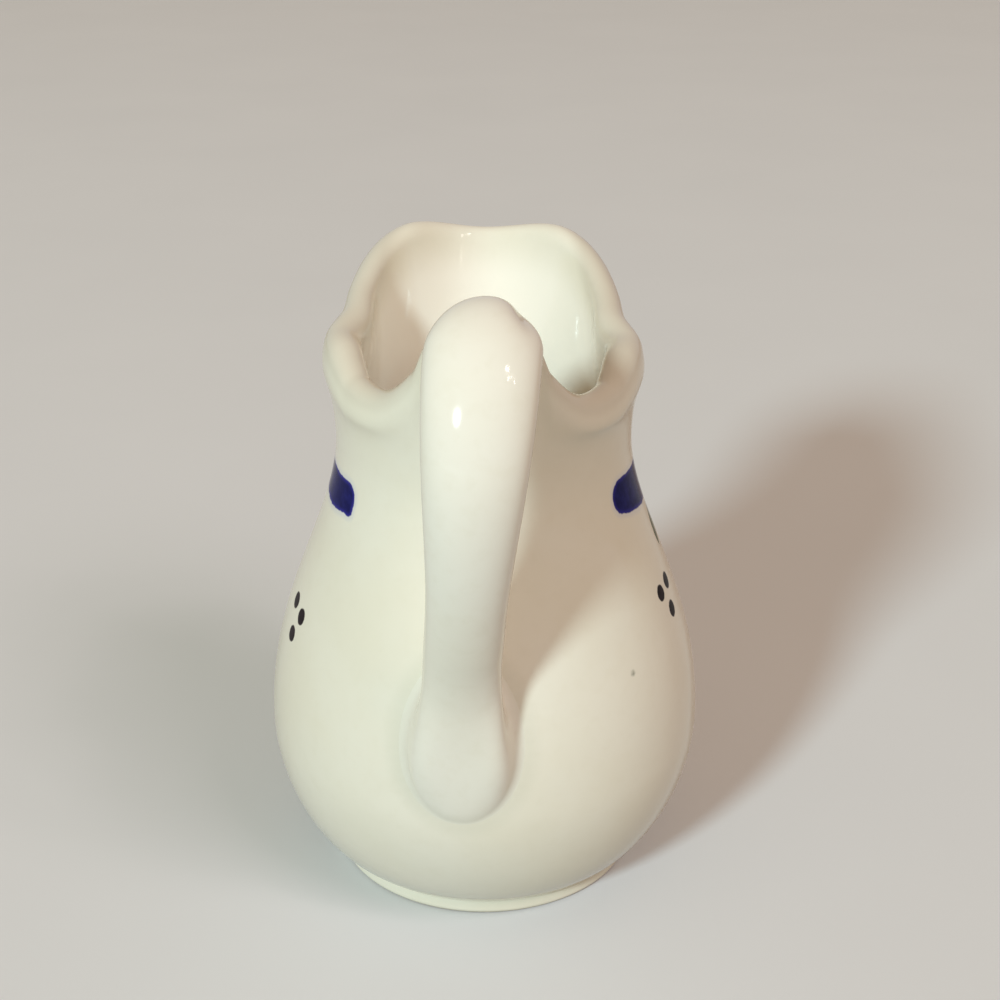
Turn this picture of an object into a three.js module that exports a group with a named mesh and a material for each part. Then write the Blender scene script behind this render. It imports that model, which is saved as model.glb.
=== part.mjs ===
// A glazed ceramic cream jug: a slip-cast body with a lobed rim, a strap handle set on by hand,
// and the two clay joints that hold the handle to the rim and to the belly.
// Millimetres and degrees. +Z is up, the handle is at the back (-Y) and the pouring lip at the front (+Y).
import * as THREE from "three";

// Foot ring, with its hollow underside
const footRadius = 31;
const footHeight = 3;
const footFlare = 0.9;
const footEdge = 0.8;
const footRingWidth = 4.4;
const footRecess = 2;

// Belly and neck. Spring, drop, lift and rise are how far each curve holds its direction.
const bellyRadius = 44;
const bellyHeight = 32;
const bellySpring = 8;
const bellySpringAngle = 25;
const bellyDrop = 12;
const bellyLift = 26.5;
const neckRadius = 29;
const neckHeight = 93;
const neckDrop = 17;
const neckRise = 7;

// Wall
const wallThickness = 4.2;
const floorThickness = 4.5;
const floorDrop = 20;

// Rim, round from the handle: the raised tab that carries it, the dip beside the tab, the ear,
// and the pinch, lobe and middle of the pouring lip.
// Out and Up place the lip's crest from the neck, Lean tips the lip outwards,
// Swell rounds the wall below it, and Roll is the lip's thickness beyond the wall's.
// Tilt is how far the rim sinks on the right and rises on the left.
const rimTilt = 0.7;
const tabOut = -1;
const tabUp = 30.5;
const tabLean = 10;
const tabSwell = 9;
const tabRoll = 1.3;
const dipOut = -1.9;
const dipUp = 15.8;
const dipLean = -6;
const dipSwell = 6;
const dipRoll = 1.1;
const earOut = -1.8;
const earUp = 21.1;
const earLean = -8.5;
const earSwell = 6.5;
const earRoll = 2.9;
const pinchOut = -2.1;
const pinchUp = 22.8;
const pinchLean = -1.5;
const pinchSwell = 9;
const pinchRoll = 0.4;
const lobeOut = 8.8;
const lobeUp = 31.9;
const lobeLean = 17;
const lobeSwell = 11;
const lobeRoll = 0.4;
const spoutOut = 12.5;
const spoutUp = 29.5;
const spoutLean = 30;
const spoutSwell = 11;
const spoutRoll = 0.2;

// Handle strap: its centre line from the rim over the bend to the belly, and its oval section
const handleRootBack = 8;
const handleRootRise = 51;
const handleRootHold = 13;
const handleGrip = 29.4;
const handleBendDrop = 19.3;
const handleBendHold = 16.6;
const handleEndGap = 11.3;
const handleEndClimb = 19.5;
const handleEndSlope = 31;
const handleEndHold = 12;
const handleTopShift = 1.2;
const handleEndShift = -3.6;
const handleRootWidth = 13.2;
const handleBendWidth = 19.9;
const handleEndWidth = 14.2;
const handleWidestShare = 0.17;
const handleNarrowShare = 0.83;
const handleRootThickness = 12.5;
const handleEndThickness = 9.5;

// Thumb hollow on the right of the bend, pressed into the soft strap
const hollowDepth = 1.5;
const hollowShare = 0.132;
const hollowReach = 0.086;
const hollowTurn = 40;
const hollowSpread = 19;

// Clay joints between the strap and the body
const upperJointMargin = 3.7;
const upperJointTop = 5.8;
const upperJointSide = 1.5;
const upperJointDrop = 12;
const upperJointRunout = 8;
const upperJointUndercut = 66;
const lowerJointMargin = 4.3;
const lowerJointRise = 15;
const lowerJointHalfHeight = 16.4;
const lowerJointShift = -3.9;
const lowerJointSlope = 34;
const lowerJointBulge = 80;
const lowerJointUndercut = 64;
const lowerJointSwell = 0.38;
const lowerJointWaist = 0.2;
const jointHold = 0.33;
const jointFillet = 2.4;
const jointClearance = 0.3;

// Facets
const turnSteps = 72;
const lowerBellySteps = 7;
const shoulderSteps = 10;
const rimSteps = 7;
const lipSteps = 5;
const floorSteps = 8;
const strapSteps = 36;
const sectionSteps = 24;
const patchSteps = 3;
const filletSteps = 3;
const jointSteps = 8;

const { degToRad, lerp, radToDeg, smoothstep } = THREE.MathUtils;
const footWaistRadius = footRadius - footFlare;
const floorHeight = footRecess + floorThickness;

// The rim's features, and where each way from one to the next is reached, by angle from the handle.
const tab = { out: tabOut, up: tabUp, lean: tabLean, swell: tabSwell, roll: tabRoll };
const dip = { out: dipOut, up: dipUp, lean: dipLean, swell: dipSwell, roll: dipRoll };
const ear = { out: earOut, up: earUp, lean: earLean, swell: earSwell, roll: earRoll };
const pinch = { out: pinchOut, up: pinchUp, lean: pinchLean, swell: pinchSwell, roll: pinchRoll };
const lobe = { out: lobeOut, up: lobeUp, lean: lobeLean, swell: lobeSwell, roll: lobeRoll };
const spout = { out: spoutOut, up: spoutUp, lean: spoutLean, swell: spoutSwell, roll: spoutRoll };
const rimStations = [
  { angle: 0, from: tab, to: dip, share: 0 },
  { angle: 12, from: tab, to: dip, share: 0.04 },
  { angle: 21, from: tab, to: dip, share: 0.25 },
  { angle: 25.5, from: tab, to: dip, share: 0.6 },
  { angle: 39, from: tab, to: dip, share: 1 },
  { angle: 57, from: dip, to: ear, share: 0 },
  { angle: 63.5, from: dip, to: ear, share: 0.36 },
  { angle: 74, from: dip, to: ear, share: 0.85 },
  { angle: 89, from: dip, to: ear, share: 1 },
  { angle: 107, from: pinch, to: lobe, share: 0 },
  { angle: 122.5, from: pinch, to: lobe, share: 0.26 },
  { angle: 154, from: pinch, to: lobe, share: 1 },
  { angle: 180, from: lobe, to: spout, share: 1 },
];

// Shares of a way, from the first step to the end.
function sharesOf(count) {
  return Array.from({ length: count }, (_, n) => (n + 1) / count);
}

// Angles round a full turn, from 0.
function turnsOf(count) {
  return Array.from({ length: count }, (_, n) => (2 * Math.PI * n) / count);
}

// A direction at an angle from the first axis to the second.
function heading(first, second, degrees) {
  const angle = degToRad(degrees);
  return first.clone().multiplyScalar(Math.cos(angle)).addScaledVector(second, Math.sin(angle));
}

// A point of a wall section, given as radius and height, at an angle from the handle.
function turned(point, angle) {
  return new THREE.Vector3(point.x * Math.sin(angle), -point.x * Math.cos(angle), point.y);
}

// Smooth curve through one value of the rim stations. It is the same on both sides, and level at both ends.
function alongRim(key, angle) {
  const degrees = Math.abs(radToDeg(Math.atan2(Math.sin(angle), Math.cos(angle))));
  const last = rimStations.length - 1;
  const next = rimStations.findIndex((station, k) => k > 0 && (degrees <= station.angle || k === last));
  const valueAt = (k) => lerp(rimStations[k].from[key], rimStations[k].to[key], rimStations[k].share);
  const slopeAt = (k) => {
    if (k === 0 || k === last) return 0;
    return (valueAt(k + 1) - valueAt(k - 1)) / (rimStations[k + 1].angle - rimStations[k - 1].angle);
  };
  const span = rimStations[next].angle - rimStations[next - 1].angle;
  const t = (degrees - rimStations[next - 1].angle) / span;
  const leaving = t * (1 - t) * (1 - t) * span * slopeAt(next - 1);
  const arriving = t * t * (1 - t) * span * slopeAt(next);
  return lerp(valueAt(next - 1), valueAt(next), t * t * (3 - 2 * t)) + leaving - arriving;
}

// The lip at an angle: the middle of its rounding, its half thickness, and the ways along and across it.
function lipAt(angle) {
  const lean = alongRim("lean", angle);
  const half = (wallThickness + alongRim("roll", angle)) / 2;
  const radius = neckRadius + alongRim("out", angle);
  const crest = neckHeight + alongRim("up", angle) - rimTilt * Math.sin(angle);
  const out = new THREE.Vector2(1, 0);
  const up = new THREE.Vector2(0, 1);
  return {
    half,
    middle: new THREE.Vector2(radius, crest - half),
    along: heading(up, out, lean),
    across: heading(out, up, -lean),
  };
}

// A point on the lip's rounding, from 0 outside to half a turn inside.
function lipPoint(angle, turn) {
  const { half, middle, along, across } = lipAt(angle);
  return heading(across, along, radToDeg(turn)).multiplyScalar(half).add(middle);
}

// Curves of the wall, as radius and height. inset is 0 outside and the wall's thickness inside.
function lowerBelly() {
  const waist = new THREE.Vector2(footWaistRadius, footHeight);
  const spring = heading(new THREE.Vector2(1, 0), new THREE.Vector2(0, 1), bellySpringAngle);
  return new THREE.CubicBezierCurve(
    waist,
    waist.clone().addScaledVector(spring, bellySpring),
    new THREE.Vector2(bellyRadius, bellyHeight - bellyDrop),
    new THREE.Vector2(bellyRadius, bellyHeight),
  );
}

function shoulder(inset) {
  return new THREE.CubicBezierCurve(
    new THREE.Vector2(bellyRadius - inset, bellyHeight),
    new THREE.Vector2(bellyRadius - inset, bellyHeight + bellyLift),
    new THREE.Vector2(neckRadius - inset, neckHeight - neckDrop),
    new THREE.Vector2(neckRadius - inset, neckHeight),
  );
}

function rimWall(angle, inset) {
  const end = lipPoint(angle, inset > 0 ? Math.PI : 0);
  return new THREE.CubicBezierCurve(
    new THREE.Vector2(neckRadius - inset, neckHeight),
    new THREE.Vector2(neckRadius - inset, neckHeight + neckRise),
    end.clone().addScaledVector(lipAt(angle).along, -alongRim("swell", angle)),
    end,
  );
}

function innerFloor() {
  return new THREE.CubicBezierCurve(
    new THREE.Vector2(0, floorHeight),
    new THREE.Vector2(footWaistRadius, floorHeight),
    new THREE.Vector2(bellyRadius - wallThickness, bellyHeight - floorDrop),
    new THREE.Vector2(bellyRadius - wallThickness, bellyHeight),
  );
}

// The wall's section at an angle, from beside the underside's middle to beside the floor's middle.
function wallSection(angle) {
  const footInner = footRadius - footEdge - footRingWidth;
  return [
    new THREE.Vector2(footInner - footRecess, footRecess),
    new THREE.Vector2(footInner, 0),
    new THREE.Vector2(footRadius - footEdge, 0),
    new THREE.Vector2(footRadius, footEdge),
    ...lowerBelly().getPoints(lowerBellySteps),
    ...shoulder(0).getPoints(shoulderSteps).slice(1),
    ...rimWall(angle, 0).getPoints(rimSteps).slice(1),
    ...sharesOf(lipSteps).slice(0, -1).map((share) => lipPoint(angle, Math.PI * share)),
    ...rimWall(angle, wallThickness).getPoints(rimSteps).reverse(),
    ...shoulder(wallThickness).getPoints(shoulderSteps).reverse().slice(1),
    ...innerFloor().getPoints(floorSteps).reverse().slice(1, -1),
  ];
}

// A closed solid through rings of points, with one point at each end.
function ringSolid(startPole, rings, endPole) {
  const count = rings[0].length;
  const last = rings.length - 1;
  const points = [startPole, ...rings.flat(), endPole];
  const at = (ring, k) => 1 + ring * count + (k % count);
  const index = [];
  for (let k = 0; k < count; k += 1) {
    index.push(0, at(0, k + 1), at(0, k));
    for (let r = 0; r < last; r += 1) {
      index.push(at(r, k), at(r, k + 1), at(r + 1, k + 1));
      index.push(at(r, k), at(r + 1, k + 1), at(r + 1, k));
    }
    index.push(points.length - 1, at(last, k), at(last, k + 1));
  }
  const geometry = new THREE.BufferGeometry().setFromPoints(points);
  geometry.setIndex(index);
  geometry.computeVertexNormals();
  return geometry;
}

// Body: the wall's section carried round the axis, with the lobes of the rim.
function bodyGeometry() {
  const angles = turnsOf(turnSteps);
  const sections = angles.map(wallSection);
  const rings = sections[0].map((_, j) => sections.map((section, k) => turned(section[j], angles[k])));
  return ringSolid(new THREE.Vector3(0, 0, footRecess), rings, new THREE.Vector3(0, 0, floorHeight));
}

// Outside of the rim as a surface. way runs over the lip from its outer edge, or under 0 down the wall.
function rimSurface(angle, way) {
  if (way >= 0) return turned(lipPoint(angle, way / lipAt(angle).half), angle);
  const wall = rimWall(angle, 0);
  return turned(wall.getPointAt(1 + way / wall.getLength()), angle);
}

// Radius of the outside below the neck, at a height.
function bellyRadiusAt(height) {
  const curve = height < bellyHeight ? lowerBelly() : shoulder(0);
  let low = 0;
  let high = 1;
  while (high - low > 1e-9) {
    const middle = (low + high) / 2;
    if (curve.getPoint(middle).y < height) low = middle;
    else high = middle;
  }
  return curve.getPoint(low).x;
}

function bellySurface(angle, height) {
  return turned({ x: bellyRadiusAt(height), y: height }, angle);
}

// A point of a surface, lifted off it along the outward normal.
function lifted(surface, angle, way) {
  const step = 1e-3;
  const alongAngle = surface(angle + step, way).sub(surface(angle - step, way));
  const alongWay = surface(angle, way + step).sub(surface(angle, way - step));
  return surface(angle, way).addScaledVector(alongAngle.cross(alongWay).normalize(), jointClearance);
}

// Handle: the centre line runs up and back from the rim's raised tab, over a bend and down to the belly.
const tabRadius = neckRadius + alongRim("out", 0);
const tabHeight = neckHeight + alongRim("up", 0);
const padHeight = bellyHeight + lowerJointRise;
const padRadius = bellyRadiusAt(padHeight);

function strapCurve() {
  const back = new THREE.Vector3(0, -1, 0);
  const up = new THREE.Vector3(0, 0, 1);
  const endHeight = padHeight + handleEndClimb;
  const top = new THREE.Vector3(0, -tabRadius - handleRootBack, tabHeight);
  const bend = new THREE.Vector3(0, -neckRadius - handleGrip, tabHeight - handleBendDrop);
  const end = new THREE.Vector3(0, -bellyRadiusAt(endHeight) - handleEndGap, endHeight);
  const overRoot = top.clone().addScaledVector(heading(back, up, handleRootRise), handleRootHold);
  const overBend = bend.clone().addScaledVector(up, handleBendHold);
  const underBend = bend.clone().addScaledVector(up, -handleEndHold);
  const overEnd = end.clone().addScaledVector(heading(up, back, handleEndSlope), handleEndHold);
  const path = new THREE.CurvePath();
  path.add(new THREE.CubicBezierCurve3(top, overRoot, overBend, bend));
  path.add(new THREE.CubicBezierCurve3(bend, underBend, overEnd, end));
  return path;
}

const strapPath = strapCurve();
const sectionTurns = turnsOf(sectionSteps);

// One oval section of the strap at a share of its length. ahead shifts it along the path.
function strapRing(share, ahead) {
  const along = strapPath.getTangentAt(share);
  const sideways = new THREE.Vector3(1, 0, 0);
  const outward = along.clone().cross(sideways).normalize();
  const centre = strapPath.getPointAt(share).addScaledVector(along, ahead);
  centre.x = lerp(handleTopShift, handleEndShift, share);
  const widening = smoothstep(share, 0, handleWidestShare);
  const tapering = smoothstep(share, handleWidestShare, handleNarrowShare);
  const width = lerp(lerp(handleRootWidth, handleBendWidth, widening), handleEndWidth, tapering);
  const thickness = lerp(handleRootThickness, handleEndThickness, share);
  const hollowAt = (turn) => {
    const lengthwise = (share - hollowShare) / hollowReach;
    const crosswise = (radToDeg(turn) - hollowTurn) / hollowSpread;
    return hollowDepth * Math.exp(-(lengthwise ** 2) - crosswise ** 2);
  };
  const pointAt = (turn) =>
    centre
      .clone()
      .addScaledVector(sideways, (width / 2 - hollowAt(turn)) * Math.cos(turn))
      .addScaledVector(outward, (thickness / 2 - hollowAt(turn)) * Math.sin(turn));
  return { centre, along, pointAt };
}

function handleGeometry() {
  const strap = [0, ...sharesOf(strapSteps)].map((share) => strapRing(share, 0));
  const rings = strap.map((ring) => sectionTurns.map(ring.pointAt));
  return ringSolid(strap[0].centre, rings, strap[strapSteps].centre);
}

// A joint spreads from the end of the strap to a patch that lies on the body.
// It leaves the body through a fillet, at the angle that climb gives, and runs out along the strap.
// swell and waist are the shares of the way for which it holds its direction at the body and at the strap.
function jointProfile({ patch, climb, swell, waist, end }, turn) {
  const small = 0.02;
  const edge = patch(turn, 1);
  const inward = patch(turn, 1 - small).sub(edge).normalize();
  const outward = patch(turn + small, 1).sub(edge).cross(inward).normalize();
  const filletPoint = (degrees) =>
    edge
      .clone()
      .addScaledVector(outward, jointFillet)
      .addScaledVector(heading(outward, inward, -degrees), -jointFillet);
  const foot = filletPoint(climb(turn));
  const top = end.pointAt(turn);
  const way = foot.distanceTo(top);
  const run = new THREE.CubicBezierCurve3(
    foot,
    foot.clone().addScaledVector(heading(inward, outward, climb(turn)), way * swell),
    top.clone().addScaledVector(end.along, -way * waist),
    top,
  );
  const fillet = sharesOf(filletSteps).map((share) => filletPoint(climb(turn) * share));
  return [...fillet, ...run.getPoints(jointSteps).slice(1)];
}

function jointGeometry(joint) {
  const onBody = sharesOf(patchSteps).map((share) => sectionTurns.map((turn) => joint.patch(turn, share)));
  const profiles = sectionTurns.map((turn) => jointProfile(joint, turn));
  const spread = profiles[0].map((_, n) => profiles.map((profile) => profile[n]));
  return ringSolid(joint.patch(0, 0), [...onBody, ...spread], joint.end.centre);
}

// The upper joint covers the outside of the raised tab at the back of the rim and goes over its lip.
function upperJointGeometry() {
  const spread = Math.asin((handleRootWidth / 2 + upperJointMargin) / tabRadius);
  const patch = (turn, share) => {
    const reach = Math.sin(turn) > 0 ? upperJointTop - upperJointSide : upperJointSide + upperJointDrop;
    const way = upperJointSide + reach * Math.sin(turn) * share;
    return lifted(rimSurface, spread * Math.cos(turn) * share, way);
  };
  const climb = (turn) => lerp(upperJointRunout, upperJointUndercut, (1 - Math.sin(turn)) / 2);
  const end = strapRing(0, -jointClearance);
  return jointGeometry({ patch, climb, swell: jointHold, waist: jointHold, end });
}

// The lower joint is a domed pad pressed on to the belly. It narrows to a waist below the strap.
function lowerJointGeometry() {
  const shift = Math.asin(lowerJointShift / padRadius);
  const spread = Math.asin((handleEndWidth / 2 + lowerJointMargin) / padRadius);
  const patch = (turn, share) => {
    const height = padHeight + lowerJointHalfHeight * Math.sin(turn) * share;
    return lifted(bellySurface, shift + spread * Math.cos(turn) * share, height);
  };
  const climb = (turn) => {
    const middle = lerp(lowerJointSlope, lowerJointUndercut, (1 + Math.sin(turn)) / 2);
    return lerp(middle, lowerJointBulge, Math.cos(turn) ** 2);
  };
  const ring = strapRing(1, jointClearance);
  const end = {
    centre: ring.centre,
    along: ring.along.clone().negate(),
    pointAt: (turn) => ring.pointAt(-turn),
  };
  return jointGeometry({ patch, climb, swell: lowerJointSwell, waist: lowerJointWaist, end });
}

// Each piece is a mesh of its own, glazed alike.
function piece(name, geometry) {
  const glaze = new THREE.MeshStandardMaterial({ color: 0xe9e4d2, roughness: 0.15, metalness: 0 });
  const mesh = new THREE.Mesh(geometry, glaze);
  mesh.name = name;
  return mesh;
}

const jug = new THREE.Group();
jug.add(piece("body", bodyGeometry()));
jug.add(piece("handle", handleGeometry()));
jug.add(piece("upper_joint", upperJointGeometry()));
jug.add(piece("lower_joint", lowerJointGeometry()));

// The jug stands on the origin, in the middle of its length and width.
const middle = new THREE.Box3().setFromObject(jug).getCenter(new THREE.Vector3());
jug.position.set(-middle.x, -middle.y, 0);

const creamer = new THREE.Group();
creamer.add(jug);

export default creamer;
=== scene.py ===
import math

import bpy
import numpy as np
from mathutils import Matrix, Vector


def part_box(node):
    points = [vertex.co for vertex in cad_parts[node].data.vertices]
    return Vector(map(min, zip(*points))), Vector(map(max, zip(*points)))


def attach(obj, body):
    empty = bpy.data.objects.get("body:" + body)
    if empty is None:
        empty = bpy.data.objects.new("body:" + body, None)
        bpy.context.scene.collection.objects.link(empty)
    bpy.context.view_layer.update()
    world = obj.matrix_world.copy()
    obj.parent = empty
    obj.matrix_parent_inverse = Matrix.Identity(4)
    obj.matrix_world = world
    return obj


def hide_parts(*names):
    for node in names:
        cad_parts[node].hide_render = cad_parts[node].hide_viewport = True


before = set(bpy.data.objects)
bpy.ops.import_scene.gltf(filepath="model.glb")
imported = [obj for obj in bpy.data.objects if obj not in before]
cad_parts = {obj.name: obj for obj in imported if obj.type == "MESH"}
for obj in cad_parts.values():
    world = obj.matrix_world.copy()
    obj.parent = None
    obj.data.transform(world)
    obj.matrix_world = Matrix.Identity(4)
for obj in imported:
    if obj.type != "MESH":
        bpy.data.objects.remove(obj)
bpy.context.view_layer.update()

MM = 0.001
body_low, body_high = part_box("body")
AXIS = np.array([0.0, (body_low[1] + body_high[1]) / 2 / MM, 0.0])

# Foot ring, belly, neck and wall, as in the solids
FOOT_RADIUS, FOOT_HEIGHT, FOOT_FLARE, FOOT_EDGE = 31.0, 3.0, 0.9, 0.8
FOOT_RING_WIDTH, FOOT_RECESS = 4.4, 2.0
BELLY_RADIUS, BELLY_HEIGHT, BELLY_SPRING, BELLY_SPRING_ANGLE = 44.0, 32.0, 8.0, 25.0
BELLY_DROP, BELLY_LIFT = 12.0, 26.5
NECK_RADIUS, NECK_HEIGHT, NECK_DROP, NECK_RISE = 29.0, 93.0, 17.0, 7.0
WALL, FLOOR_THICKNESS, FLOOR_DROP = 4.2, 4.5, 20.0
WAIST_RADIUS = FOOT_RADIUS - FOOT_FLARE
FLOOR_HEIGHT = FOOT_RECESS + FLOOR_THICKNESS

# Roundings of the foot ring, from recess to belly, and how far its unglazed face reaches up and inwards
FOOT_ROUNDINGS = [0.9, 0.6, 0.35, 0.45, 0.8]
FOOT_INNER = FOOT_RADIUS - FOOT_EDGE - FOOT_RING_WIDTH
BARE_HEIGHT, BARE_MARGIN = 0.42, 0.4

# The rim's features: out, up, lean, swell and roll of the lip, and how far the neck holds on upwards below it
TAB = np.array([-1.0, 30.5, 10.0, 9.0, 1.3, NECK_RISE])
DIP = np.array([-1.7, 15.8, -13.0, 7.0, 1.7, 11.0])
EAR = np.array([-2.0, 21.1, -12.5, 7.7, 2.9, 12.5])
PINCH = np.array([-3.0, 22.8, -1.5, 9.0, 2.2, 9.0])
LOBE = np.array([7.7, 31.9, 17.0, 11.0, 2.6, NECK_RISE])
SPOUT = np.array([12.2, 29.5, 30.0, 11.0, 0.8, NECK_RISE])
STATION_ANGLES = np.array([0, 11.8, 20.4, 25.2, 39, 57, 63.5, 74, 89, 107, 122.5, 154, 180])
STATION_VALUES = np.array([
    TAB,
    TAB + 0.04 * (DIP - TAB),
    TAB + 0.25 * (DIP - TAB),
    TAB + 0.6 * (DIP - TAB),
    DIP,
    DIP,
    DIP + 0.36 * (EAR - DIP),
    DIP + 0.85 * (EAR - DIP),
    EAR,
    PINCH,
    PINCH + 0.26 * (LOBE - PINCH),
    LOBE,
    SPOUT,
])
RIM_TILT = 0.7

# Handle strap and clay joints
ROOT_BACK, ROOT_RISE, ROOT_HOLD, GRIP = 8.0, 51.0, 13.0, 29.4
BEND_DROP, BEND_HOLD = 19.3, 16.6
END_GAP, END_CLIMB, END_SLOPE, END_HOLD = 11.3, 19.5, 24.0, 12.0
TOP_SHIFT, END_SHIFT = 1.2, -3.6
ROOT_WIDTH, BEND_WIDTH, END_WIDTH, WIDEST_SHARE, NARROW_SHARE = 13.2, 19.9, 14.2, 0.17, 0.83
ROOT_THICKNESS, END_THICKNESS = 12.5, 9.5
HOLLOW_DEPTH, HOLLOW_SHARE, HOLLOW_REACH, HOLLOW_TURN, HOLLOW_SPREAD = 1.2, 0.105, 0.055, 38.0, 22.0
UPPER_MARGIN, UPPER_TOP, UPPER_SIDE, UPPER_DROP = 2.4, 5.8, 1.5, 12.0
UPPER_RUNOUT, UPPER_UNDERCUT = 8.0, 66.0
LOWER_MARGIN, LOWER_RISE, LOWER_HALF, LOWER_SHIFT = 5.0, 15.0, 17.0, -4.1
LOWER_SLOPE, LOWER_BULGE, LOWER_UNDERCUT = 19.0, 52.0, 50.0
LOWER_SWELL, LOWER_WAIST, JOINT_HOLD = 0.24, 0.3, 0.33
JOINT_FILLET = 3.2
JOINT_SINK = 0.012

# Mesh resolution
TURN_STEPS, SECTION_STEPS = 384, 96
BELLY_STEPS, SHOULDER_STEPS, RIM_STEPS, LIP_STEPS = 45, 84, 40, 16
INNER_RIM_STEPS, INNER_SHOULDER_STEPS, INNER_FLOOR_STEPS = 36, 50, 40
STRAP_STEPS, FILLET_STEPS, UPPER_STEPS, LOWER_STEPS = 120, 10, 22, 34
ROUNDING_STEPS, STROKE_STEPS, WALL_STEPS, FINE_STEPS = 5, 15, 256, 3000

# What one point closes: the underside's middle, as a radius, and the floor's, as a share of its curve
UNDERSIDE_MIDDLE, FLOOR_MIDDLE = 6.0, 0.04
# Where the rounding of the foot's crease ends, as a share of the lower belly's curve
CREASE_END = 0.0375
# Within how many rings of the strap's ends the joints are eased into it, fully and at all, and how often
EASE_FULL, EASE_END, EASE_PASSES = 3, 9, 30
# A small step for directions, and a distance at which no paint or edge shows
SMALL, FAR = 0.02, 9.0


def smoothstep(value, low, high):
    t = np.clip((value - low) / (high - low), 0, 1)
    return t * t * (3 - 2 * t)


def bezier(a, b, c, d, t):
    """Points of cubic curves at the values t, which become the first axis."""
    t = np.asarray(t, float).reshape((-1,) + (1,) * np.ndim(a))
    return (1 - t) ** 3 * a + 3 * t * (1 - t) ** 2 * b + 3 * t * t * (1 - t) * c + t ** 3 * d


def smooth_curve(knots, values, slopes, at):
    """A smooth curve through values at knots, with the given slopes there, read off at other places."""
    k = np.clip(np.searchsorted(knots, at), 1, len(knots) - 1)
    span = (knots[k] - knots[k - 1])[..., None]
    t = (at - knots[k - 1])[..., None] / span
    ease = t * t * (3 - 2 * t)
    blend = values[k - 1] * (1 - ease) + values[k] * ease
    return blend + span * (t * (1 - t) ** 2 * slopes[k - 1] - t * t * (1 - t) * slopes[k])


def steps(first, last, count):
    """Values from just after first up to last."""
    return np.linspace(first, last, count + 1)[1:]


def unit(vectors):
    return vectors / np.linalg.norm(vectors, axis=-1, keepdims=True)


def rounded(points, setbacks, count):
    """A run of straight lines whose inner corners are rounded off, each by its own setback."""
    points = np.array(points, float)
    run = [points[:1]]
    for k in range(1, len(points) - 1):
        before = points[k] + setbacks[k - 1] * unit(points[k - 1] - points[k])
        after = points[k] + setbacks[k - 1] * unit(points[k + 1] - points[k])
        t = np.linspace(0, 1, count + 1)[:, None]
        run.append((1 - t) ** 2 * before + 2 * t * (1 - t) * points[k] + t * t * after)
    run.append(points[-1:])
    return np.concatenate(run)


def lengths_along(points):
    """How far along each run of points, which follow each other on the first axis, each point lies."""
    return np.cumsum(np.linalg.norm(np.diff(points, axis=0, prepend=points[:1]), axis=-1), axis=0)


def turned(section, angles):
    """Points of wall sections, given as radius and height, at angles from the handle."""
    radius, height = section[..., 0], section[..., 1]
    return np.stack([radius * np.sin(angles), -radius * np.cos(angles), height + 0 * angles], axis=-1)


# Wall of the body, as radius and height

def rim_values(angles):
    """The rim's features at angles from the handle: a smooth curve through the stations."""
    degrees = np.abs(np.degrees(np.arctan2(np.sin(angles), np.cos(angles))))
    slopes = np.zeros_like(STATION_VALUES)
    reach = STATION_ANGLES[2:] - STATION_ANGLES[:-2]
    slopes[1:-1] = (STATION_VALUES[2:] - STATION_VALUES[:-2]) / reach[:, None]
    return smooth_curve(STATION_ANGLES, STATION_VALUES, slopes, degrees)


def lip(angles):
    """Middle of the lip's rounding, its half thickness, and the ways along and across it."""
    out, up, lean, _, roll, _ = np.moveaxis(rim_values(angles), -1, 0)
    half = (WALL + roll) / 2
    lean = np.radians(lean)
    middle = np.stack([NECK_RADIUS + out, NECK_HEIGHT + up - RIM_TILT * np.sin(angles) - half], axis=-1)
    along = np.stack([np.sin(lean), np.cos(lean)], axis=-1)
    across = np.stack([np.cos(lean), -np.sin(lean)], axis=-1)
    return middle, half, along, across


def lip_point(angles, turn):
    """Points of the lip's rounding. turn runs from its outer edge over its top to its inner edge."""
    middle, half, along, across = lip(angles)
    turn = np.asarray(turn) + 0 * half
    return middle + half[..., None] * (np.cos(turn)[..., None] * across + np.sin(turn)[..., None] * along)


def foot():
    """From the underside round the foot ring to the start of the belly."""
    corners = [
        (UNDERSIDE_MIDDLE, FOOT_RECESS),
        (FOOT_INNER - FOOT_RECESS, FOOT_RECESS),
        (FOOT_INNER, 0),
        (FOOT_RADIUS - FOOT_EDGE, 0),
        (FOOT_RADIUS, FOOT_EDGE),
        (WAIST_RADIUS, FOOT_HEIGHT),
        tuple(lower_belly([CREASE_END])[0]),
    ]
    return rounded(corners, FOOT_ROUNDINGS, ROUNDING_STEPS)[:-1]


def lower_belly(t):
    """Outside from the waist above the foot up to the widest place."""
    angle = math.radians(BELLY_SPRING_ANGLE)
    waist = np.array([WAIST_RADIUS, FOOT_HEIGHT])
    spring = waist + BELLY_SPRING * np.array([math.cos(angle), math.sin(angle)])
    return bezier(waist, spring, np.array([BELLY_RADIUS, BELLY_HEIGHT - BELLY_DROP]),
                  np.array([BELLY_RADIUS, BELLY_HEIGHT]), t)


def shoulder(inset, t):
    """From the widest place up to the neck: outside with no inset, inside with the wall as inset."""
    low, high = BELLY_RADIUS - inset, NECK_RADIUS - inset
    return bezier(np.array([low, BELLY_HEIGHT]), np.array([low, BELLY_HEIGHT + BELLY_LIFT]),
                  np.array([high, NECK_HEIGHT - NECK_DROP]), np.array([high, NECK_HEIGHT]), t)


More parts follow.
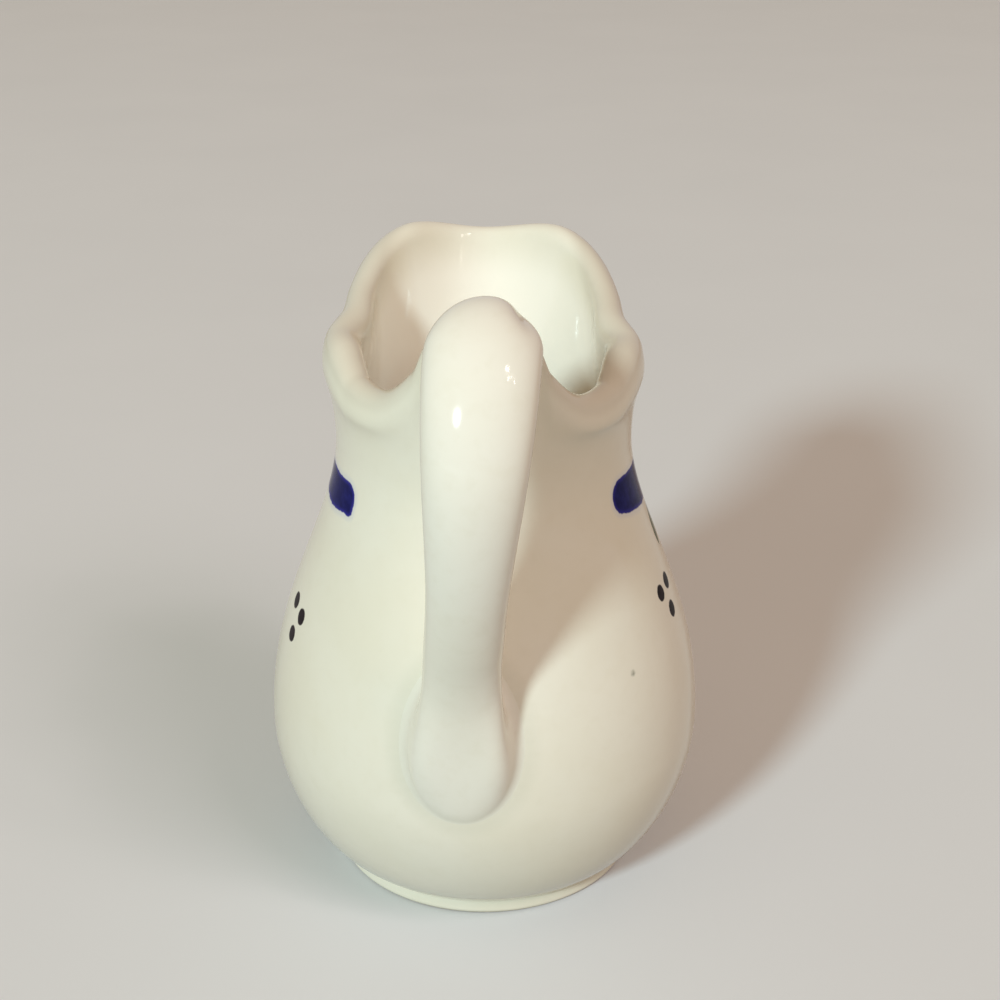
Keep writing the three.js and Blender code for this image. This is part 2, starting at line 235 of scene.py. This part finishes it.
def rim_wall(angles, inset, t):
    """From the neck up to the lip: outside with no inset, inside with the wall as inset."""
    end = lip_point(angles, math.pi if inset else 0.0)
    _, _, along, _ = lip(angles)
    _, _, _, swell, _, hold = np.moveaxis(rim_values(angles), -1, 0)
    if inset:
        hold = np.full_like(hold, NECK_RISE)
    radius = NECK_RADIUS - inset
    start = np.broadcast_to(np.array([radius, NECK_HEIGHT]), end.shape)
    held = np.stack([np.full_like(hold, radius), NECK_HEIGHT + hold], axis=-1)
    return bezier(start, held, end - swell[..., None] * along, end, t)


def inner_floor(t):
    """Inside from the middle of the floor up to the widest place."""
    radius = BELLY_RADIUS - WALL
    return bezier(np.array([0.0, FLOOR_HEIGHT]), np.array([WAIST_RADIUS, FLOOR_HEIGHT]),
                  np.array([radius, BELLY_HEIGHT - FLOOR_DROP]), np.array([radius, BELLY_HEIGHT]), t)


OUTSIDE_T = np.linspace(0, 1, FINE_STEPS + 1)
OUTSIDE = np.concatenate([lower_belly(OUTSIDE_T), shoulder(0, OUTSIDE_T)[1:]])


def outside_radius(height):
    return np.interp(height, OUTSIDE[:, 1], OUTSIDE[:, 0])


# Meshes

def make_mesh(name, start_pole, rings, end_pole, normals=None):
    """A closed mesh through rings of points, with one point at each end."""
    count = rings.shape[1]
    points = np.concatenate([[start_pole], rings.reshape(-1, 3), [end_pole]])
    ring = np.arange(len(rings))[:, None] * count + 1
    low, high = ring[:-1], ring[1:]
    k = np.arange(count)[None, :]
    following = (k + 1) % count
    quads = np.stack([low + k, low + following, high + following, high + k], axis=-1)
    first = [(0, 1 + (n + 1) % count, 1 + n) for n in range(count)]
    base = 1 + (len(rings) - 1) * count
    last = [(len(points) - 1, base + n, base + (n + 1) % count) for n in range(count)]
    mesh = bpy.data.meshes.new(name)
    mesh.from_pydata(((points + AXIS) * MM).tolist(), [], first + quads.reshape(-1, 4).tolist() + last)
    mesh.polygons.foreach_set("use_smooth", np.ones(len(mesh.polygons), bool))
    mesh.update()
    if normals is not None:
        flat = np.concatenate([[normals[0].mean(axis=0)], normals.reshape(-1, 3), [normals[-1].mean(axis=0)]])
        mesh.normals_split_custom_set_from_vertices(unit(flat).tolist())
    piece = bpy.data.objects.new(name, mesh)
    bpy.context.collection.objects.link(piece)
    return piece, points


def set_attribute(piece, name, values):
    attribute = piece.data.attributes.new(name, "FLOAT", "POINT")
    attribute.data.foreach_set("value", np.asarray(values, np.float32))


# Handle: the strap's centre line, then its oval sections

TAB_RADIUS = NECK_RADIUS + TAB[0]
TAB_HEIGHT = NECK_HEIGHT + TAB[1]
PAD_HEIGHT = BELLY_HEIGHT + LOWER_RISE
PAD_RADIUS = outside_radius(PAD_HEIGHT)


def strap_line(shares):
    """Points and directions of the strap's centre line, as back and up, at shares of its length."""
    end_height = PAD_HEIGHT + END_CLIMB
    rise, slope = math.radians(ROOT_RISE), math.radians(END_SLOPE)
    top = np.array([TAB_RADIUS + ROOT_BACK, TAB_HEIGHT])
    bend = np.array([NECK_RADIUS + GRIP, TAB_HEIGHT - BEND_DROP])
    end = np.array([outside_radius(end_height) + END_GAP, end_height])
    over_root = top + ROOT_HOLD * np.array([math.cos(rise), math.sin(rise)])
    over_end = end + END_HOLD * np.array([math.sin(slope), math.cos(slope)])
    t = np.linspace(0, 1, FINE_STEPS + 1)
    line = np.concatenate([
        bezier(top, over_root, bend + [0, BEND_HOLD], bend, t),
        bezier(bend, bend - [0, END_HOLD], over_end, end, t)[1:],
    ])
    length = lengths_along(line)
    way = np.gradient(line, length, axis=0)
    at = np.asarray(shares) * length[-1]
    point = np.stack([np.interp(at, length, line[:, n]) for n in range(2)], axis=-1)
    along = unit(np.stack([np.interp(at, length, way[:, n]) for n in range(2)], axis=-1))
    return point, along


def strap_rings(shares, turns):
    """Oval sections of the strap, with its directions there."""
    point, along = strap_line(shares)
    centre = np.stack([TOP_SHIFT + (END_SHIFT - TOP_SHIFT) * shares, -point[:, 0], point[:, 1]], axis=-1)
    along = np.stack([np.zeros(len(shares)), -along[:, 0], along[:, 1]], axis=-1)
    sideways = np.array([1.0, 0.0, 0.0])
    outward = unit(np.cross(along, sideways))
    widening = smoothstep(shares, 0, WIDEST_SHARE)
    tapering = smoothstep(shares, WIDEST_SHARE, NARROW_SHARE)
    width = ROOT_WIDTH + (BEND_WIDTH - ROOT_WIDTH) * widening
    width = width + (END_WIDTH - width) * tapering
    thickness = ROOT_THICKNESS + (END_THICKNESS - ROOT_THICKNESS) * shares
    lengthwise = ((shares - HOLLOW_SHARE) / HOLLOW_REACH)[:, None]
    crosswise = ((np.degrees(turns) - HOLLOW_TURN + 180) % 360 - 180) / HOLLOW_SPREAD
    hollow = HOLLOW_DEPTH * np.exp(-lengthwise ** 2 - crosswise ** 2)
    aside = ((width / 2)[:, None] - hollow) * np.cos(turns)
    off = ((thickness / 2)[:, None] - hollow) * np.sin(turns)
    rings = centre[:, None] + aside[..., None] * sideways + off[..., None] * outward[:, None]
    return rings, along


# Clay joints: a patch on the body, a fillet, and a run out to the strap

def rim_surface(angles, way):
    """Outside of the rim. way is a length: over the lip from its outer edge, or below 0 down the wall."""
    _, half, _, _ = lip(angles)
    over = lip_point(angles, np.maximum(way, 0) / half)
    wall = rim_wall(angles, 0, np.linspace(0, 1, WALL_STEPS + 1))
    length = lengths_along(wall)
    down = np.empty_like(over)
    for k in range(len(angles)):
        at = length[-1, k] + min(way[k], 0)
        down[k] = [np.interp(at, length[:, k], wall[:, k, n]) for n in range(2)]
    return turned(np.where((way >= 0)[:, None], over, down), angles)


def belly_surface(angles, height):
    return turned(np.stack([outside_radius(height), height], axis=-1), angles)


def lifted(surface, angles, way, lift):
    """Points off a surface, at a distance from it."""
    along_angle = surface(angles + SMALL / 10, way) - surface(angles - SMALL / 10, way)
    along_way = surface(angles, way + SMALL) - surface(angles, way - SMALL)
    return surface(angles, way) + lift * unit(np.cross(along_angle, along_way))


def upper_patch(turns, share):
    """Points under the upper joint, at a share of the way from its middle to its edge."""
    spread = math.asin((ROOT_WIDTH / 2 + UPPER_MARGIN) / TAB_RADIUS)
    reach = np.where(np.sin(turns) > 0, UPPER_TOP - UPPER_SIDE, UPPER_SIDE + UPPER_DROP)
    way = UPPER_SIDE + reach * np.sin(turns) * share
    return lifted(rim_surface, spread * np.cos(turns) * share, way, -JOINT_SINK)


def upper_climb(turns):
    """How steeply the upper joint leaves the body."""
    return np.radians(UPPER_RUNOUT + (UPPER_UNDERCUT - UPPER_RUNOUT) * (1 - np.sin(turns)) / 2)


def lower_patch(turns, share):
    """Points under the lower joint, at a share of the way from its middle to its edge."""
    shift = math.asin(LOWER_SHIFT / PAD_RADIUS)
    spread = math.asin((END_WIDTH / 2 + LOWER_MARGIN) / PAD_RADIUS)
    height = PAD_HEIGHT + LOWER_HALF * np.sin(turns) * share
    return lifted(belly_surface, shift + spread * np.cos(turns) * share, height, -JOINT_SINK)


def lower_climb(turns):
    """How steeply the lower joint leaves the body."""
    middle = LOWER_SLOPE + (LOWER_UNDERCUT - LOWER_SLOPE) * (1 + np.sin(turns)) / 2
    return np.radians(middle + (LOWER_BULGE - middle) * np.cos(turns) ** 2)


def joint_rings(patch, climb, swell, waist, turns, top, along, run_steps):
    """Rings from the joint's edge on the body up to the end of the strap."""
    edge = patch(turns, 1.0)
    inward = unit(patch(turns, 1 - SMALL) - edge)
    outward = unit(np.cross(patch(turns + SMALL, 1.0) - edge, inward))
    slope = climb(turns)[:, None]

    def fillet(angle):
        return edge + JOINT_FILLET * (np.sin(angle) * inward + (1 - np.cos(angle)) * outward)

    start = fillet(slope)
    way = np.linalg.norm(top - start, axis=-1, keepdims=True)
    leaving = start + swell * way * (np.cos(slope) * inward + np.sin(slope) * outward)
    run = bezier(start, leaving, top - waist * way * along, top, steps(0, 1, run_steps))
    return np.concatenate([[fillet(slope * s) for s in np.linspace(0, 1, FILLET_STEPS + 1)], run])


def eased(grid, ends):
    """Rings with the three runs, which meet at the strap's two ends, eased into each other."""
    index = np.arange(len(grid))
    near = np.min([np.abs(index - end) for end in ends], axis=0)
    ease = 0.5 * (1 - smoothstep(near, EASE_FULL, EASE_END))[:, None, None]
    for _ in range(EASE_PASSES):
        middle = grid.copy()
        middle[1:-1] = (grid[:-2] + grid[2:]) / 2
        grid = grid + ease * (middle - grid)
    return grid


def grid_normals(grid):
    """Normals of rings that are closed round."""
    around = np.roll(grid, -1, axis=1) - np.roll(grid, 1, axis=1)
    normals = unit(np.cross(around, np.gradient(grid, axis=0)))
    side = np.sum(normals * (grid - grid.mean(axis=1)[:, None]))
    return normals * np.sign(side)


def make_handle():
    """The strap and its two joints, as three closed pieces that share one smooth skin, and its lower edge."""
    turns = np.arange(SECTION_STEPS) * 2 * math.pi / SECTION_STEPS
    strap, along = strap_rings(np.linspace(0, 1, STRAP_STEPS + 1), turns)
    upper = joint_rings(upper_patch, upper_climb, JOINT_HOLD, JOINT_HOLD, turns,
                        strap[0], along[0], UPPER_STEPS)
    lower = joint_rings(lower_patch, lower_climb, LOWER_SWELL, LOWER_WAIST, -turns,
                        strap[-1], -along[-1], LOWER_STEPS)[::-1]
    first, last = len(upper) - 1, len(upper) + len(strap) - 2
    grid = eased(np.concatenate([upper, strap[1:], lower[1:]]), (first, last))
    normals = grid_normals(grid)
    edge_way = np.minimum(lengths_along(grid), lengths_along(grid[::-1])[::-1])
    landing = [1 / 3, 2 / 3]
    under_upper = np.stack([upper_patch(turns, s) for s in landing])
    under_lower = np.stack([lower_patch(-turns, s) for s in landing[::-1]])
    middle = np.zeros(1)
    pieces = {}

    def add(name, start, rings, end, ring_normals, way):
        piece, _ = make_mesh(name, start, rings, end, ring_normals)
        start_way, end_way = way[:1].mean(axis=1), way[-1:].mean(axis=1)
        set_attribute(piece, "edge_way", np.concatenate([start_way, way.ravel(), end_way]))
        pieces[name] = piece

    add("creamer_handle", grid[first].mean(axis=0), grid[first:last + 1], grid[last].mean(axis=0),
        normals[first:last + 1], edge_way[first:last + 1])
    add("creamer_upper_joint", upper_patch(middle, 0.0)[0], np.concatenate([under_upper, grid[:first + 1]]),
        grid[first].mean(axis=0), np.concatenate([-normals[[0, 0]], normals[:first + 1]]),
        np.concatenate([edge_way[[0, 0]], edge_way[:first + 1]]))
    add("creamer_lower_joint", grid[last].mean(axis=0), np.concatenate([grid[last:], under_lower]),
        lower_patch(middle, 0.0)[0], np.concatenate([normals[last:], -normals[[-1, -1]]]),
        np.concatenate([edge_way[last:], edge_way[[-1, -1]]]))
    return pieces, grid[-1]


# Painted strokes: brush lines on the outside, each a run of angle from the handle, height and half width

BLUE = [
    [(62, 85, 3.5), (72, 84.2, 4.05), (85, 83.5, 4.5), (96, 82.2, 4.2), (106, 81.5, 2.8), (114, 81.6, 0.9)],
    [(-60.6, 85, 3.2), (-70, 84.7, 3.5), (-82, 85.1, 3.5), (-94, 85.4, 3.2), (-105, 85.2, 2.2),
     (-113, 84.8, 0.8)],
    [(-60, 84.4, 2.6), (-57.2, 83.0, 1.2)],
    [(124, 84.4, 3.3), (135, 84.6, 4.2), (147, 85.6, 4.1), (158, 87.2, 2.6), (167, 89, 0.8)],
    [(-123, 84.0, 3.3), (-134, 84.4, 4.1), (-146, 85.8, 4.1), (-157, 87.4, 2.6), (-166, 89.3, 0.8)],
]
GREEN = [
    [(96, 77.5, 0.7), (90, 74.8, 2.3), (87, 72.2, 1.9), (86, 69.6, 0.5)],
    [(-105, 77.5, 0.7), (-100, 74, 2.5), (-97, 70.5, 2.0), (-96, 67, 0.5)],
    [(121, 78, 0.7), (126, 74, 2.6), (128, 70.5, 2.1), (128, 66.5, 0.5)],
    [(-120, 78, 0.7), (-125, 74.2, 2.6), (-127, 70.8, 2.1), (-127.5, 67, 0.5)],
    [(178, 86, 0.6), (172, 82, 2.6), (169.5, 78, 2.1), (168.5, 74, 0.5)],
    [(-178.5, 86, 0.6), (-172.5, 82.2, 2.6), (-169.6, 78.2, 2.1), (-168.8, 74.3, 0.5)],
]
# Groups of three dark dots, as angle and height, and their half width
DOTS = [
    (76.5, 64.3), (68.7, 63.9), (73.3, 59.3),
    (-74.7, 60.6), (-67.2, 59.4), (-70.5, 54.9),
    (115, 62.5), (108, 62), (111.5, 57.5),
    (-116, 62), (-108.5, 61.5), (-112, 57),
    (149, 63), (142, 63), (145.5, 58.4),
    (-150, 62.7), (-143, 62.5), (-146.5, 58),
    (183.5, 66), (176.5, 66), (180, 61.4),
]
DOT_HALF = 1.75
DARK = [[(angle, height, DOT_HALF)] for angle, height in DOTS]
IRON = [[(44.8, 54.5, 0.45)]]


def stroke_distance(points, stroke):
    """Distance from points to the edge of a brush stroke, below 0 inside it."""
    stroke = np.array(stroke, float)
    if len(stroke) > 1:
        knots = np.linspace(0, 1, len(stroke))
        at = np.linspace(0, 1, STROKE_STEPS * (len(stroke) - 1) + 1)
        stroke = smooth_curve(knots, stroke, np.gradient(stroke, knots, axis=0), at)
    centres = belly_surface(np.radians(stroke[:, 0]), stroke[:, 1])
    middle = centres.mean(axis=0)
    reach = np.linalg.norm(centres - middle, axis=1).max() + stroke[:, 2].max() + FAR
    close = np.linalg.norm(points - middle, axis=1) < reach
    some = points[close]
    nearest = np.full(len(some), FAR)
    for centre, half in zip(centres, stroke[:, 2]):
        nearest = np.minimum(nearest, np.linalg.norm(some - centre, axis=1) - half)
    distance = np.full(len(points), FAR)
    distance[close] = nearest
    return distance


# Body: one closed skin from the underside, over the lip, to the floor inside

def make_body(lower_edge):
    angles = np.arange(TURN_STEPS) * 2 * math.pi / TURN_STEPS

    def all_round(section):
        return np.broadcast_to(section[:, None], (len(section), TURN_STEPS, 2))

    foot_section = foot()
    outside = np.concatenate([
        foot_section,
        lower_belly(np.linspace(CREASE_END, 1, BELLY_STEPS + 1)),
        shoulder(0, steps(0, 1, SHOULDER_STEPS)),
    ])
    section = np.concatenate([
        all_round(outside),
        rim_wall(angles, 0, steps(0, 1, RIM_STEPS)),
        np.stack([lip_point(angles, turn) for turn in steps(0, math.pi, LIP_STEPS)[:-1]]),
        rim_wall(angles, WALL, np.linspace(1, 0, INNER_RIM_STEPS + 1)),
        all_round(shoulder(WALL, steps(1, 0, INNER_SHOULDER_STEPS))),
        all_round(inner_floor(steps(1, FLOOR_MIDDLE, INNER_FLOOR_STEPS))),
    ])
    rings = turned(section, angles[None, :])
    piece, points = make_mesh("creamer_body", [0, 0, FOOT_RECESS], rings, [0, 0, FLOOR_HEIGHT])
    ring = np.concatenate([[0], np.repeat(np.arange(len(rings)), TURN_STEPS), [len(rings) - 1]])
    mark_paint(piece, points, ring < len(outside))
    mark_creases(piece, points, ring < len(outside), lower_edge)
    mark_lip(piece, points, ring - (len(outside) + RIM_STEPS))
    mark_bare_clay(piece, points, ring < len(foot_section))
    return piece


def mark_paint(piece, points, outside):
    """Distances to the painted strokes and to a spot of iron in the clay."""
    for name, strokes in {"blue": BLUE, "green": GREEN, "dark": DARK, "iron": IRON}.items():
        distance = np.full(len(points), FAR)
        for stroke in strokes:
            distance[outside] = np.minimum(distance[outside], stroke_distance(points[outside], stroke))
        set_attribute(piece, name, distance)


def mark_creases(piece, points, outside, lower_edge):
    """Distances to the edge of the lower joint and to the crease above the foot, where glaze pools and shade
    is painted in.
    """
    crease = 0.6 * np.hypot(np.hypot(points[:, 0], points[:, 1]) - WAIST_RADIUS, points[:, 2] - FOOT_HEIGHT)
    edge_way = np.minimum(crease, FAR)
    for point in lower_edge[::2]:
        edge_way = np.minimum(edge_way, np.linalg.norm(points - point, axis=1))
    set_attribute(piece, "edge_way", np.where(outside, edge_way, FAR))


def mark_lip(piece, points, rings_past_wall):
    """Rings past the lip on the inside, which carry the inside's painted light, and from the middle of the
    lip, which carry its thin glaze and painted shade and fade towards the spout.
    """
    set_attribute(piece, "inside", rings_past_wall - LIP_STEPS)
    turn = np.degrees(np.arctan2(np.abs(points[:, 0]), -points[:, 1]))
    from_middle = np.abs(rings_past_wall - (LIP_STEPS - 1) / 2)
    set_attribute(piece, "lip", from_middle + 14 * smoothstep(turn, 130, 165))


def mark_bare_clay(piece, points, on_foot):
    """How deep inside the unglazed face of the foot ring, below 0 outside it."""
    radius = np.hypot(points[:, 0], points[:, 1])
    inside = BARE_HEIGHT - points[:, 2] - np.maximum(0, FOOT_INNER - BARE_MARGIN - radius)
    set_attribute(piece, "bare", np.where(on_foot, inside, -FAR))


# Materials

def linear(red, green, blue):
    """A colour written as 0 to 255, as the shader's sockets take it."""
    values = np.array([red, green, blue]) / 255
    return (*np.where(values <= 0.04045, values / 12.92, ((values + 0.055) / 1.055) ** 2.4), 1.0)


class Nodes:
    """The node tree of one material."""

    def __init__(self, name):
        self.material = bpy.data.materials.new(name)
        self.material.use_nodes = True
        self.tree = self.material.node_tree
        self.shader = self.tree.nodes["Principled BSDF"]
        self.place = self.tree.nodes.new("ShaderNodeTexCoord").outputs["Object"]

    def put(self, socket, value):
        if isinstance(value, bpy.types.NodeSocket):
            self.tree.links.new(value, socket)
        else:
            socket.default_value = value

    def node(self, kind, **settings):
        node = self.tree.nodes.new(kind)
        for key, value in settings.items():
            setattr(node, key, value)
        return node

    def noise(self, size, detail=2.0, roughness=0.5):
        """Noise whose features are about size millimetres wide."""
        node = self.node("ShaderNodeTexNoise")
        self.put(node.inputs["Vector"], self.place)
        node.inputs["Scale"].default_value = 1 / (size * MM)
        node.inputs["Detail"].default_value = detail
        node.inputs["Roughness"].default_value = roughness
        return node.outputs["Fac"]

    def attribute(self, name):
        return self.node("ShaderNodeAttribute", attribute_name=name).outputs["Fac"]

    def math(self, operation, first, second):
        node = self.node("ShaderNodeMath", operation=operation)
        self.put(node.inputs[0], first)
        self.put(node.inputs[1], second)
        return node.outputs[0]

    def step(self, value, low, high, at_low=0.0, at_high=1.0):
        """A smooth change from one value to another."""
        node = self.node("ShaderNodeMapRange", interpolation_type="SMOOTHSTEP")
        for socket, setting in zip(node.inputs, (value, low, high, at_low, at_high)):
            self.put(socket, setting)
        return node.outputs["Result"]

    def mix(self, share, first, second):
        """A colour between two others."""
        node = self.node("ShaderNodeMix", data_type="RGBA")
        self.put(node.inputs["Factor"], share)
        self.put(node.inputs[6], first)
        self.put(node.inputs[7], second)
        return node.outputs[2]

    def bump(self, height, distance, normal=None):
        node = self.node("ShaderNodeBump")
        node.inputs["Distance"].default_value = distance * MM
        self.put(node.inputs["Height"], height)
        if normal is not None:
            self.put(node.inputs["Normal"], normal)
        return node.outputs["Normal"]


def glaze_colour(nodes, cream, thin):
    """A glaze that varies a little in thickness, pools in creases and is darkened there as painted shade."""
    colour = nodes.mix(nodes.step(nodes.noise(34, 3), 0.35, 0.68), cream, thin)
    colour = nodes.mix(nodes.step(nodes.noise(2.6, 3), 0.45, 0.8, 0, 0.18), colour, linear(228, 220, 199))
    # Partly pooled glaze, partly painted shade: darker near the foot's crease and the joints' edges
    pooled_glaze_and_shade = nodes.step(nodes.attribute("edge_way"), 0.0, 4.0, 0.3, 0.0)
    return nodes.mix(pooled_glaze_and_shade, colour, linear(206, 203, 184))


def painted_light_inside_and_lip(nodes, colour):
    """An inside painted paler as painted light, and a lip on which the glaze is thin and which is painted
    darker as painted shade.
    """
    # Painted light: the inside is painted paler than the outside
    colour = nodes.mix(nodes.step(nodes.attribute("inside"), 0, 9), colour, linear(247, 241, 227))
    # Partly thin glaze, partly painted shade: the lip and the ears under it are painted darker
    thin_glaze_and_shade_share = nodes.step(nodes.attribute("lip"), 5.0, 14.0, 0.6, 0.0)
    return nodes.mix(thin_glaze_and_shade_share, colour, linear(205, 195, 176))


def paint(nodes, colour):
    """Blue strokes with a soft halo, green leaves and dark dots, all with uneven edges and less shine."""
    wander = nodes.math("MULTIPLY", nodes.math("SUBTRACT", nodes.noise(1.7, 3), 0.5), 0.7)
    blue = nodes.math("ADD", nodes.attribute("blue"), wander)
    green = nodes.math("ADD", nodes.attribute("green"), wander)
    dark = nodes.math("ADD", nodes.attribute("dark"), nodes.math("MULTIPLY", wander, 0.6))
    colour = nodes.mix(nodes.step(blue, 0.1, 1.5, 0.42, 0.0), colour, linear(196, 199, 214))
    streak = nodes.step(nodes.noise(2.2, 4, 0.6), 0.35, 0.7)
    pigment = nodes.mix(streak, linear(27, 28, 84), linear(36, 37, 104))
    pigment = nodes.mix(nodes.step(blue, -1.1, 0.0), pigment, linear(50, 46, 138))
    colour = nodes.mix(nodes.step(blue, -0.16, 0.16, 1.0, 0.0), colour, pigment)
    leaf = nodes.mix(streak, linear(62, 82, 58), linear(88, 104, 72))
    colour = nodes.mix(nodes.step(green, -0.2, 0.2, 1.0, 0.0), colour, leaf)
    dot = nodes.mix(streak, linear(34, 27, 30), linear(48, 38, 44))
    colour = nodes.mix(nodes.step(dark, -0.14, 0.16, 1.0, 0.0), colour, dot)
    painted = nodes.math("MINIMUM", nodes.math("MINIMUM", blue, green), dark)
    nodes.put(nodes.shader.inputs["Specular IOR Level"], nodes.step(painted, -0.2, 0.2, 0.02, 0.5))
    return colour


def specks(nodes, colour):
    """Small round specks in a few of the cells of a pattern."""
    size, share, radius = 13, 0.06, 0.24
    cells = nodes.node("ShaderNodeTexVoronoi")
    nodes.put(cells.inputs["Vector"], nodes.place)
    cells.inputs["Scale"].default_value = 1 / (size * MM)
    chosen = nodes.node("ShaderNodeSeparateColor")
    nodes.put(chosen.inputs[0], cells.outputs["Color"])
    some = nodes.math("LESS_THAN", chosen.outputs[0], share)
    spot = nodes.step(cells.outputs["Distance"], 0.5 * radius / size, 1.3 * radius / size, 1.0, 0.0)
    speck = nodes.math("MULTIPLY", some, spot)
    return nodes.mix(nodes.math("MULTIPLY", speck, 0.55), colour, linear(150, 138, 112))


def bare_clay(nodes, colour, roughness):
    """Grainy, matte clay on the unglazed face of the foot ring."""
    bare = nodes.step(nodes.attribute("bare"), -0.12, 0.12)
    grain = nodes.mix(nodes.noise(0.6, 4, 0.7), linear(196, 168, 132), linear(222, 199, 164))
    mixed = nodes.node("ShaderNodeMix", data_type="FLOAT")
    nodes.put(mixed.inputs[0], bare)
    nodes.put(mixed.inputs[2], roughness)
    mixed.inputs[3].default_value = 0.85
    return nodes.mix(bare, colour, grain), mixed.outputs[0]


def finish_glaze(nodes, colour, roughness):
    """A clear, slightly wavy surface over the colour."""
    wave = nodes.bump(nodes.noise(15, 1.5), 0.16)
    nodes.put(nodes.shader.inputs["Base Color"], colour)
    nodes.put(nodes.shader.inputs["Roughness"], roughness)
    nodes.put(nodes.shader.inputs["Normal"], nodes.bump(nodes.noise(2.4, 2), 0.005, wave))
    nodes.shader.inputs["IOR"].default_value = 1.5
    return nodes.material


def glaze_roughness(nodes):
    return nodes.step(nodes.noise(6, 3), 0.3, 0.75, 0.075, 0.125)


def body_glaze():
    """The glaze with its painting, and bare clay under the foot."""
    nodes = Nodes("body_glaze")
    colour = glaze_colour(nodes, linear(238, 232, 216), linear(234, 227, 208))
    colour = paint(nodes, painted_light_inside_and_lip(nodes, colour))
    iron = nodes.step(nodes.attribute("iron"), -0.3, 0.5, 0.8, 0.0)
    colour = specks(nodes, nodes.mix(iron, colour, linear(120, 122, 104)))
    return finish_glaze(nodes, *bare_clay(nodes, colour, glaze_roughness(nodes)))


def handle_glaze():
    """The same glaze, painted a little paler as painted light, on the strap and its joints."""
    nodes = Nodes("handle_glaze")
    # Painted light: the strap's cream is paler than the body's
    colour = glaze_colour(nodes, linear(243, 238, 225), linear(240, 234, 219))
    return finish_glaze(nodes, specks(nodes, colour), glaze_roughness(nodes))


def background_rays(tree):
    """1 for the rays that show the background: those from the camera, from a shiny face or through glass."""
    path = tree.nodes.new("ShaderNodeLightPath")
    seen = path.outputs["Is Camera Ray"]
    for kind in ("Is Glossy Ray", "Is Transmission Ray"):
        either = tree.nodes.new("ShaderNodeMath")
        either.operation = "MAXIMUM"
        tree.links.new(seen, either.inputs[0])
        tree.links.new(path.outputs[kind], either.inputs[1])
        seen = either.outputs[0]
    return seen


def floor_matte():
    """A matte floor that looks pale and sends up as much light as a darker table would."""
    nodes = Nodes("floor_matte")
    pale = nodes.mix(nodes.noise(90, 3), linear(223, 225, 228), linear(228, 230, 233))
    seen = background_rays(nodes.tree)
    nodes.put(nodes.shader.inputs["Base Color"], nodes.mix(seen, linear(160, 160, 158), pale))
    nodes.shader.inputs["Roughness"].default_value = 0.7
    nodes.shader.inputs["Specular IOR Level"].default_value = 0.15
    return nodes.material


# The jug

handle_pieces, joint_edge = make_handle()
jug_body = make_body(joint_edge)
jug_body.data.materials.append(body_glaze())
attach(jug_body, "root")
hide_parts("body")
lit_handle_material = handle_glaze()
for node in ("handle", "upper_joint", "lower_joint"):
    piece = handle_pieces["creamer_" + node]
    piece.data.materials.append(lit_handle_material)
    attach(piece, "root")
    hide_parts(node)

# Floor

FLOOR_HALF = 6.0
floor_corners = [(x * FLOOR_HALF, y * FLOOR_HALF, 0) for x, y in ((-1, -1), (1, -1), (1, 1), (-1, 1))]
floor_mesh = bpy.data.meshes.new("floor")
floor_mesh.from_pydata(floor_corners, [], [(0, 1, 2, 3)])
floor_mesh.materials.append(floor_matte())
floor = bpy.data.objects.new("floor", floor_mesh)
bpy.context.collection.objects.link(floor)

# Light: a cool lamp at the left, a broad warm one at the right, and small bulbs there for glints

MIDDLE = np.array([0.0, 0.0, 0.075])
BULBS = [(52, 51, 0.44), (49, 44, 0.26), (55, 42, 0.2), (58, 37, 0.26)]
BULB_SHARE = 0.15


def area_light(name, azimuth, elevation, distance, size, share, colour, mirrored=True):
    """A round lamp that faces the jug.

    share is how bright it alone makes a white face that meets it square on.
    """
    turn, rise = math.radians(azimuth), math.radians(elevation)
    away = np.array([math.sin(turn) * math.cos(rise), -math.cos(turn) * math.cos(rise), math.sin(rise)])
    lamp = bpy.data.lights.new(name, "AREA")
    lamp.shape = "DISK"
    lamp.size = size
    lamp.energy = share * math.pi ** 2 * distance ** 2
    lamp.color = colour
    holder = bpy.data.objects.new(name, lamp)
    holder.location = MIDDLE + distance * away
    holder.rotation_euler = (math.pi / 2 - rise, 0, turn)
    holder.visible_glossy = mirrored
    bpy.context.collection.objects.link(holder)


area_light("key_light", -30.5, 26.5, 5.4, 0.78, 0.73, (0.76, 0.96, 1.0))
area_light("warm_light", 45, 45, 6.0, 2.7, 0.23, (1.0, 0.86, 0.9), False)
for azimuth, elevation, size in BULBS:
    area_light("bulb", azimuth, elevation, 5.0, size, BULB_SHARE * size ** 2, (1.0, 0.9, 0.84))

# The room: a dim warm light all round, which the camera and shiny faces see as pale grey

ROOM_LIGHT = (0.34, 0.25, 0.155, 1.0)
ROOM_SEEN = (0.62, 0.62, 0.63, 1.0)
world = bpy.data.worlds.new("studio")
bpy.context.scene.world = world
world.use_nodes = True
sky = world.node_tree
sky_colour = sky.nodes.new("ShaderNodeMix")
sky_colour.data_type = "RGBA"
sky_colour.inputs[6].default_value = ROOM_LIGHT
sky_colour.inputs[7].default_value = ROOM_SEEN
sky.links.new(background_rays(sky), sky_colour.inputs["Factor"])
sky.links.new(sky_colour.outputs[2], sky.nodes["Background"].inputs["Color"])

# Camera, fitted to the photograph: its place from the body's axis, how far it looks down, and its lens

CAMERA_PLACE, CAMERA_DOWN, CAMERA_LENS = np.array([3.18, -328.8, 224.2]), 24.0, 64.8
camera_data = bpy.data.cameras.new("camera")
camera_data.lens = CAMERA_LENS
camera_data.sensor_width = 36.0
camera_data.clip_start = 0.01
camera = bpy.data.objects.new("camera", camera_data)
camera.location = (CAMERA_PLACE + AXIS) * MM
camera.rotation_euler = (math.radians(90 - CAMERA_DOWN), 0, 0)
bpy.context.collection.objects.link(camera)
bpy.context.scene.camera = camera
bpy.context.scene.view_settings.view_transform = "Standard"
